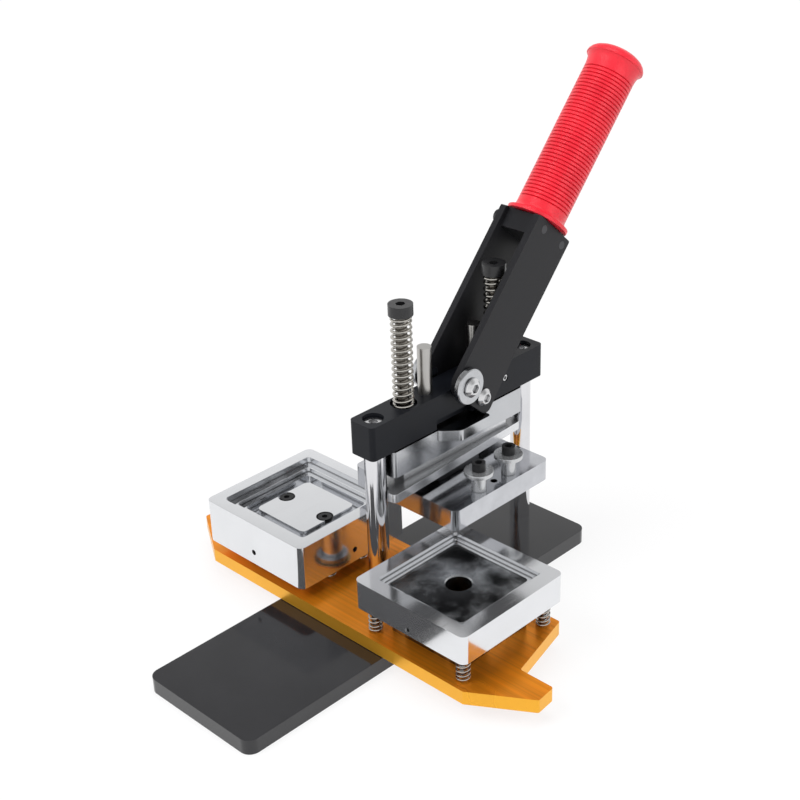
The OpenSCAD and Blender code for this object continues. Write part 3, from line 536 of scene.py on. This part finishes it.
def mesh_object(name, points, faces):
    mesh = bpy.data.meshes.new(name)
    mesh.from_pydata(points, [], faces)
    obj = bpy.data.objects.new(name, mesh)
    bpy.context.scene.collection.objects.link(obj)
    return obj


def wire_height(turn, turns, rise, closed):
    """Height of the wire after some turns, with a closed turn at each end."""
    open_turn = (rise - 2 * closed) / (turns - 2)
    if turn < 1:
        return turn * closed
    if turn > turns - 1:
        return rise - (turns - turn) * closed
    return closed + (turn - 1) * open_turn


def spring_tube(centre, outer, wire, low, high, turns):
    """Points and faces of one unbroken spring of round wire."""
    radius = (outer - wire) / 2
    count = turns * TURN_STEPS
    path = []
    for i in range(count + 1):
        angle = 2 * math.pi * i / TURN_STEPS
        height = wire_height(i / TURN_STEPS, turns, high - low - wire, wire + CLOSED_TURN_GAP)
        x = centre[0] + radius * math.cos(angle)
        y = centre[1] + radius * math.sin(angle)
        path.append(Vector((x, y, low + wire / 2 + height)))
    points = []
    for i, here in enumerate(path):
        angle = 2 * math.pi * i / TURN_STEPS
        out = Vector((math.cos(angle), math.sin(angle), 0))
        ahead = (path[min(i + 1, count)] - path[max(i - 1, 0)]).normalized()
        up = out.cross(ahead).normalized()
        for k in range(WIRE_SIDES):
            turn = 2 * math.pi * k / WIRE_SIDES
            points.append(here + wire / 2 * (math.cos(turn) * out + math.sin(turn) * up))
    faces = []
    for i in range(count):
        for k in range(WIRE_SIDES):
            a = i * WIRE_SIDES + k
            b = i * WIRE_SIDES + (k + 1) % WIRE_SIDES
            faces.append((a, b, b + WIRE_SIDES, a + WIRE_SIDES))
    faces.append(tuple(reversed(range(WIRE_SIDES))))
    faces.append(tuple(count * WIRE_SIDES + k for k in range(WIRE_SIDES)))
    return points, faces


def spring_set(name, node, centres, outer, wire, turns, body):
    """The springs of one CAD node, which stay on the body under them."""
    low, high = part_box(node)
    points = []
    faces = []
    for centre in centres:
        more, walls = spring_tube(centre, outer, wire, low.z, high.z, turns)
        start = len(points)
        points += more
        faces += [tuple(start + i for i in wall) for wall in walls]
    obj = mesh_object(name, points, faces)
    dress(obj, MATERIALS["wire"])
    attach(obj, body)
    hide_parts(node)
    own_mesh(obj)


def die_spring_axes(node, outer):
    """Axes of the four springs under a die, from the box of the node that holds them."""
    low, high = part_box(node)
    r = outer / 2
    return [(x, y) for x in (low.x + r, high.x - r) for y in (low.y + r, high.y - r)]


def make_springs():
    low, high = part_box("return_springs")
    outer = high.y - low.y
    pair = [(low.x + outer / 2, 0), (high.x - outer / 2, 0)]
    spring_set("return_spring_wire", "return_springs", pair, outer, RETURN_WIRE, RETURN_TURNS,
               body="frame")
    four = die_spring_axes("die_a_springs", FIRST_DIE_SPRING_W)
    spring_set("first_die_spring_wire", "die_a_springs", four, FIRST_DIE_SPRING_W, FIRST_DIE_WIRE,
               FIRST_DIE_TURNS, body="table")
    four = die_spring_axes("die_b_springs", SECOND_DIE_SPRING_W)
    spring_set("second_die_spring_wire", "die_b_springs", four, SECOND_DIE_SPRING_W, SECOND_DIE_WIRE,
               SECOND_DIE_TURNS, body="table")


def arc(centre, radius, start, end, steps=CORNER_STEPS):
    """Points of an arc, angles in quarter turns."""
    points = []
    for i in range(steps + 1):
        angle = QUARTER_TURN * (start + (end - start) * i / steps)
        points.append((centre[0] + radius * math.cos(angle), centre[1] + radius * math.sin(angle)))
    return points


def make_cross_bar():
    """The cross bar is wider than its solid and stands a little askew. A notch clears the front column."""
    low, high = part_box("cross_bar")
    along = (BAR_BACK - BAR_FRONT).normalized()
    across = Vector((-along.y, along.x))
    length = (BAR_BACK - BAR_FRONT).length
    r = BAR_CORNER
    column = (-BAR_FRONT.dot(along), -BAR_FRONT.dot(across))
    notch_start = math.asin((BAR_W - column[1]) / COLUMN_CLEAR) / QUARTER_TURN
    notch_end = -math.acos(-column[0] / COLUMN_CLEAR) / QUARTER_TURN
    outline = arc((r, r), r, 2, 3) + arc((length - r, r), r, 3, 4) + arc((length - r, BAR_W - r), r, 0, 1)
    outline += arc(column, COLUMN_CLEAR, notch_start, notch_end, NOTCH_STEPS)
    count = len(outline)
    points = []
    for z in (low.z, high.z):
        for u, v in outline:
            spot = BAR_FRONT + u * along + v * across
            points.append((spot.x, spot.y, z))
    faces = [tuple(reversed(range(count))), tuple(range(count, 2 * count))]
    for i in range(count):
        j = (i + 1) % count
        faces.append((i, j, count + j, count + i))
    bar = mesh_object("cross_bar_plate", points, faces)
    dress(bar, MATERIALS["bar"], BAR_EDGE)
    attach(bar, "ram")
    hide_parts("cross_bar")


def rounded_square(centre, width, radius):
    """Outline of a square with round corners, anticlockwise."""
    reach = width / 2 - radius
    outline = []
    for quarter, (side_x, side_y) in enumerate(((1, 1), (-1, 1), (-1, -1), (1, -1))):
        corner = (centre[0] + side_x * reach, centre[1] + side_y * reach)
        outline += arc(corner, radius, quarter, quarter + 1, RIM_CORNER_STEPS)
    return outline


def make_die_steps():
    """The second die's rim is broader than the solid's and steps down to a ledge, in one closed ring."""
    low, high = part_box("die_b_ring")
    centre = ((low.x + high.x) / 2, (low.y + high.y) / 2)
    loops = [
        (RIM_W, RIM_R, RIM_LAP),
        (RIM_W, RIM_R, -RIM_RISE),
        (WINDOW_W, WINDOW_R, -RIM_RISE),
        (WINDOW_W, WINDOW_R, LEDGE_DROP),
        (LEDGE_W, LEDGE_R, LEDGE_DROP),
        (LEDGE_W, LEDGE_R, FOOT_DROP),
        (FOOT_W, WINDOW_R, FOOT_DROP),
    ]
    points = []
    for width, radius, drop in loops:
        points += [(x, y, high.z - drop) for x, y in rounded_square(centre, width, radius)]
    count = len(points) // len(loops)
    faces = []
    for loop in range(len(loops)):
        here = loop * count
        there = (loop + 1) % len(loops) * count
        for i in range(count):
            j = (i + 1) % count
            faces.append((here + i, here + j, there + j, there + i))
    steps = mesh_object("die_b_steps", points, faces)
    dress(steps, MATERIALS["plated"], FINE_EDGE)
    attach(steps, "second_die")


# Floor, light and camera

FLOOR_SIZE = 14
FLOOR_DROP = 0.2 * MM
FLOOR_GREY = 0.82
FLOOR_GLOW = 1.02
# The share of plain white that the floor shows round its middle, and the distances over which it grows to one
FLOOR_WHITE = 0.8
WHITE_GROWS_FROM = 0.2
WHITE_GROWS_TO = 0.7

# Brightness of the sky in reflections, at heights from straight down, zero, to straight up, one
SKY = {0.0: 0.95, 0.5: 0.98, 0.74: 0.95, 0.8: 0.55, 0.9: 0.3, 1.0: 0.5}
AMBIENT = (0.45, 0.45, 0.46, 1)
WHITE = (1, 1, 1, 1)

# Three soft lamps that face one point
LAMP_TARGET = Vector((0.05, 0, 0.1))
KEY_AT = Vector((-1.3, 0.5, 1.6))
KEY_SIZE = (1.4, 1.0)
KEY_POWER = 26
FILL_AT = Vector((0.3, -1.8, 1.1))
FILL_SIZE = (1.4, 1.0)
FILL_POWER = 18
TOP_AT = Vector((0.2, 0.1, 2.1))
TOP_SIZE = (1.2, 1.2)
TOP_POWER = 16


def ray_mask(tree):
    """One for rays that show the backdrop: those of the camera, reflections and glass."""
    rays = tree.nodes.new("ShaderNodeLightPath")
    seen = math_node(tree, "MAXIMUM", rays.outputs["Is Camera Ray"], rays.outputs["Is Glossy Ray"])
    return math_node(tree, "MAXIMUM", seen, rays.outputs["Is Transmission Ray"])


def make_floor():
    bpy.ops.mesh.primitive_plane_add(size=FLOOR_SIZE, location=(0, 0, -FLOOR_DROP))
    floor = bpy.context.object
    floor.name = "floor"
    material = bpy.data.materials.new("floor")
    material.use_nodes = True
    tree = material.node_tree
    tree.nodes.clear()
    paint = tree.nodes.new("ShaderNodeBsdfDiffuse")
    paint.inputs["Color"].default_value = (FLOOR_GREY, FLOOR_GREY, FLOOR_GREY, 1)
    glow = tree.nodes.new("ShaderNodeEmission")
    glow.inputs["Strength"].default_value = FLOOR_GLOW
    mix = tree.nodes.new("ShaderNodeMixShader")
    out = tree.nodes.new("ShaderNodeOutputMaterial")
    reach = tree.nodes.new("ShaderNodeVectorMath")
    reach.operation = "LENGTH"
    link(tree, object_coords(tree), reach.inputs[0])
    white = map_range(tree, reach.outputs["Value"], WHITE_GROWS_FROM, WHITE_GROWS_TO, FLOOR_WHITE, 1.0)
    link(tree, math_node(tree, "MULTIPLY", ray_mask(tree), white), mix.inputs[0])
    link(tree, paint.outputs[0], mix.inputs[1])
    link(tree, glow.outputs[0], mix.inputs[2])
    link(tree, mix.outputs[0], out.inputs["Surface"])
    floor.data.materials.append(material)


def make_world():
    world = bpy.data.worlds.new("studio")
    bpy.context.scene.world = world
    world.use_nodes = True
    tree = world.node_tree
    tree.nodes.clear()
    out = tree.nodes.new("ShaderNodeOutputWorld")
    rays = tree.nodes.new("ShaderNodeLightPath")
    coords = tree.nodes.new("ShaderNodeTexCoord")
    split = tree.nodes.new("ShaderNodeSeparateXYZ")
    link(tree, coords.outputs["Generated"], split.inputs[0])
    height = map_range(tree, split.outputs["Z"], -1, 1, 0, 1)
    sky = [(place, (grey, grey, grey)) for place, grey in SKY.items()]
    mirror = tree.nodes.new("ShaderNodeBackground")
    link(tree, colour_ramp(tree, height, sky), mirror.inputs["Color"])
    ambient = tree.nodes.new("ShaderNodeBackground")
    ambient.inputs["Color"].default_value = AMBIENT
    white = tree.nodes.new("ShaderNodeBackground")
    white.inputs["Color"].default_value = WHITE
    inner = tree.nodes.new("ShaderNodeMixShader")
    outer = tree.nodes.new("ShaderNodeMixShader")
    link(tree, rays.outputs["Is Glossy Ray"], inner.inputs[0])
    link(tree, ambient.outputs[0], inner.inputs[1])
    link(tree, mirror.outputs[0], inner.inputs[2])
    link(tree, rays.outputs["Is Camera Ray"], outer.inputs[0])
    link(tree, inner.outputs[0], outer.inputs[1])
    link(tree, white.outputs[0], outer.inputs[2])
    link(tree, outer.outputs[0], out.inputs["Surface"])


def softbox(name, place, size, power):
    data = bpy.data.lights.new(name, "AREA")
    data.shape = "RECTANGLE"
    data.size, data.size_y = size
    data.energy = power
    lamp = bpy.data.objects.new(name, data)
    bpy.context.scene.collection.objects.link(lamp)
    lamp.location = place
    lamp.rotation_mode = "QUATERNION"
    lamp.rotation_quaternion = (LAMP_TARGET - place).to_track_quat("-Z", "Y")
    lamp.visible_glossy = False


def make_lights():
    softbox("key", KEY_AT, KEY_SIZE, KEY_POWER)
    softbox("fill", FILL_AT, FILL_SIZE, FILL_POWER)
    softbox("top", TOP_AT, TOP_SIZE, TOP_POWER)


def make_camera():
    data = bpy.data.cameras.new("camera")
    data.sensor_width = CAMERA_SENSOR
    data.lens = CAMERA_LENS
    camera = bpy.data.objects.new("camera", data)
    bpy.context.scene.collection.objects.link(camera)
    flat = math.cos(CAMERA_ELEVATION)
    out_x = math.sin(CAMERA_AZIMUTH) * flat
    out_y = -math.cos(CAMERA_AZIMUTH) * flat
    back = Vector((out_x, out_y, math.sin(CAMERA_ELEVATION)))
    right = Vector((0, 0, 1)).cross(back).normalized()
    up = back.cross(right)
    cosine = math.cos(CAMERA_ROLL)
    sine = math.sin(CAMERA_ROLL)
    level = cosine * right + sine * up
    rise = cosine * up - sine * right
    turn = Matrix((level, rise, back)).transposed()
    camera.matrix_world = Matrix.Translation(CAMERA_AT) @ turn.to_4x4()
    bpy.context.scene.camera = camera


make_camera()
dress_nodes()
make_springs()
make_cross_bar()
make_die_steps()
make_floor()
make_world()
make_lights()
bpy.context.scene.view_settings.view_transform = "Standard"
